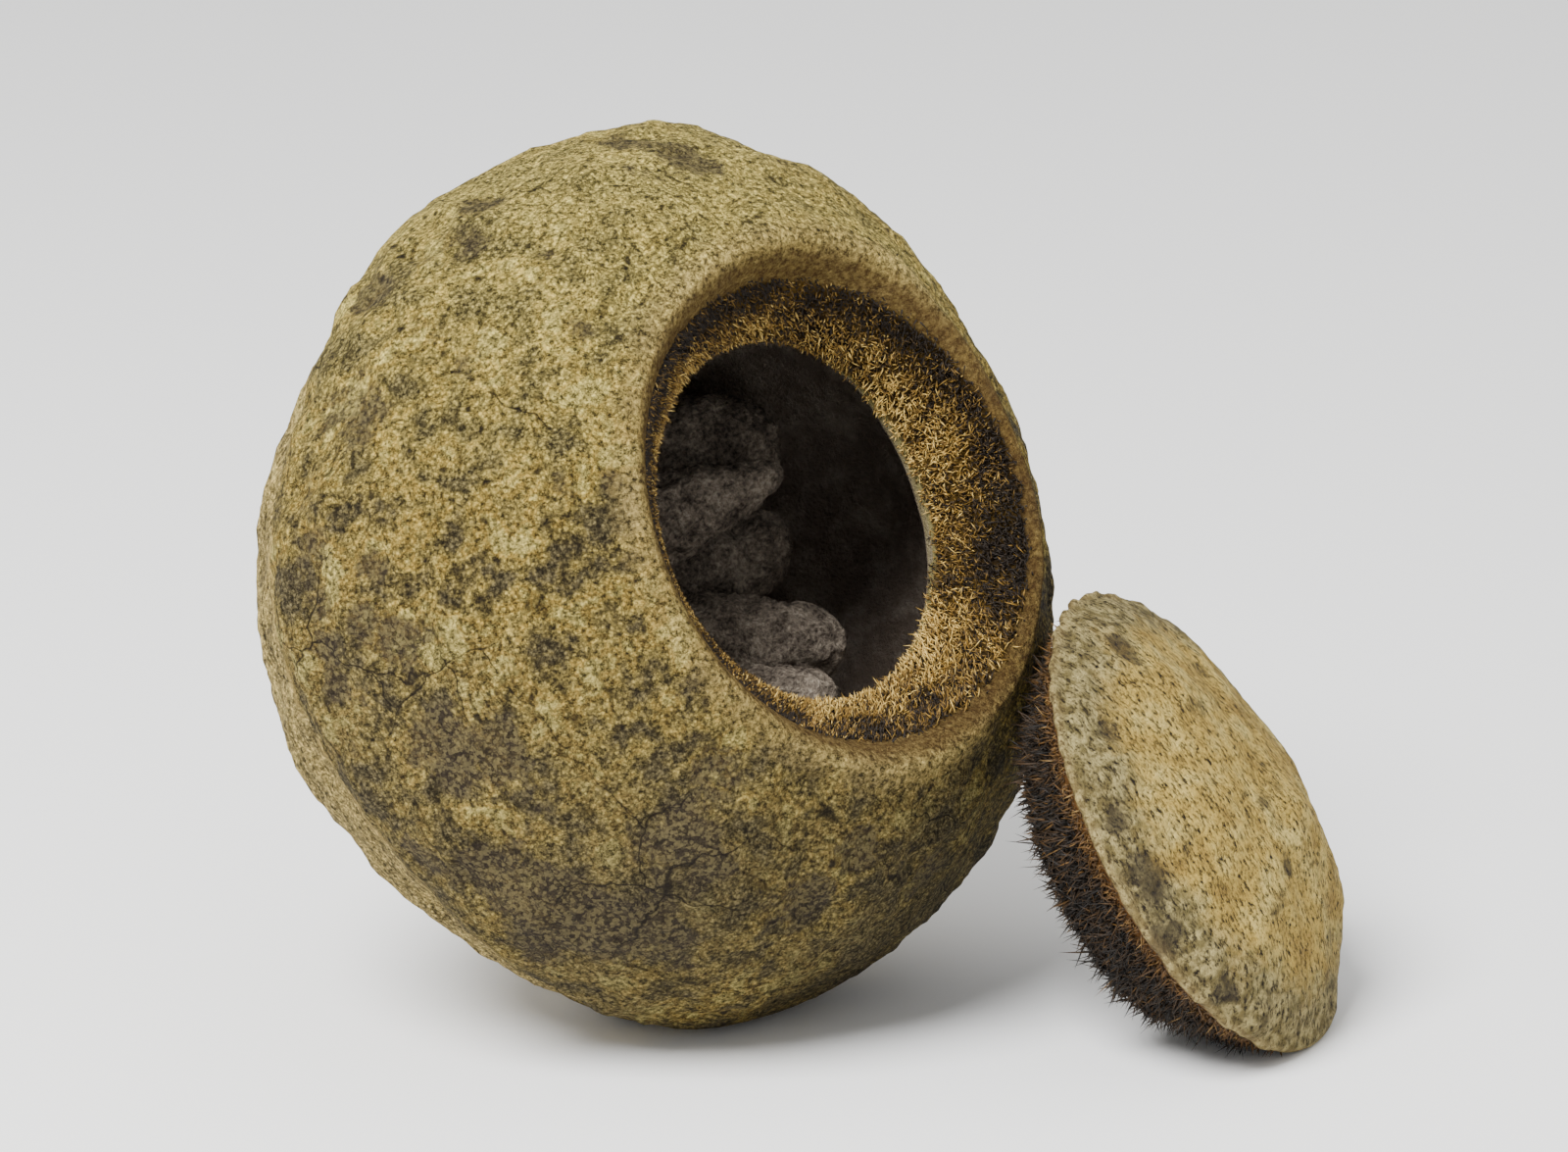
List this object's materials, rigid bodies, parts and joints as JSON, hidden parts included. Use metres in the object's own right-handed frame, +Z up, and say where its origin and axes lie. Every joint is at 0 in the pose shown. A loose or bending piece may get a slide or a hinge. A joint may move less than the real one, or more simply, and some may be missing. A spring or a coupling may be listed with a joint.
{
  "type": "monkey pot",
  "caption": "Woody monkey pot fruit lying on its side, with a round lipped mouth, a fibrous domed lid leaning on its shoulder, and dark seeds in the back of its hollow.",
  "frame": {"origin": "in the small flat spot that the pot rests on, under its belly", "axes": "+Z up from the surface it lies on; the mouth looks towards -Y and 24.5 degrees up; +X to the right of someone who looks into the mouth along +Y"},
  "size_m": [0.1325, 0.1318, 0.1171],
  "materials": {
    "woody_skin": "matte",
    "lid_skin": "matte",
    "seed_coat": "matte"
  },
  "bodies": {
    "root": {"pot": "woody_skin", "lid": "lid_skin", "seed_1": "seed_coat", "seed_2": "seed_coat", "seed_3": "seed_coat", "seed_4": "seed_coat", "seed_5": "seed_coat", "seed_6": "seed_coat", "seed_7": "seed_coat", "seed_8": "seed_coat"}
  },
  "joints": []
}
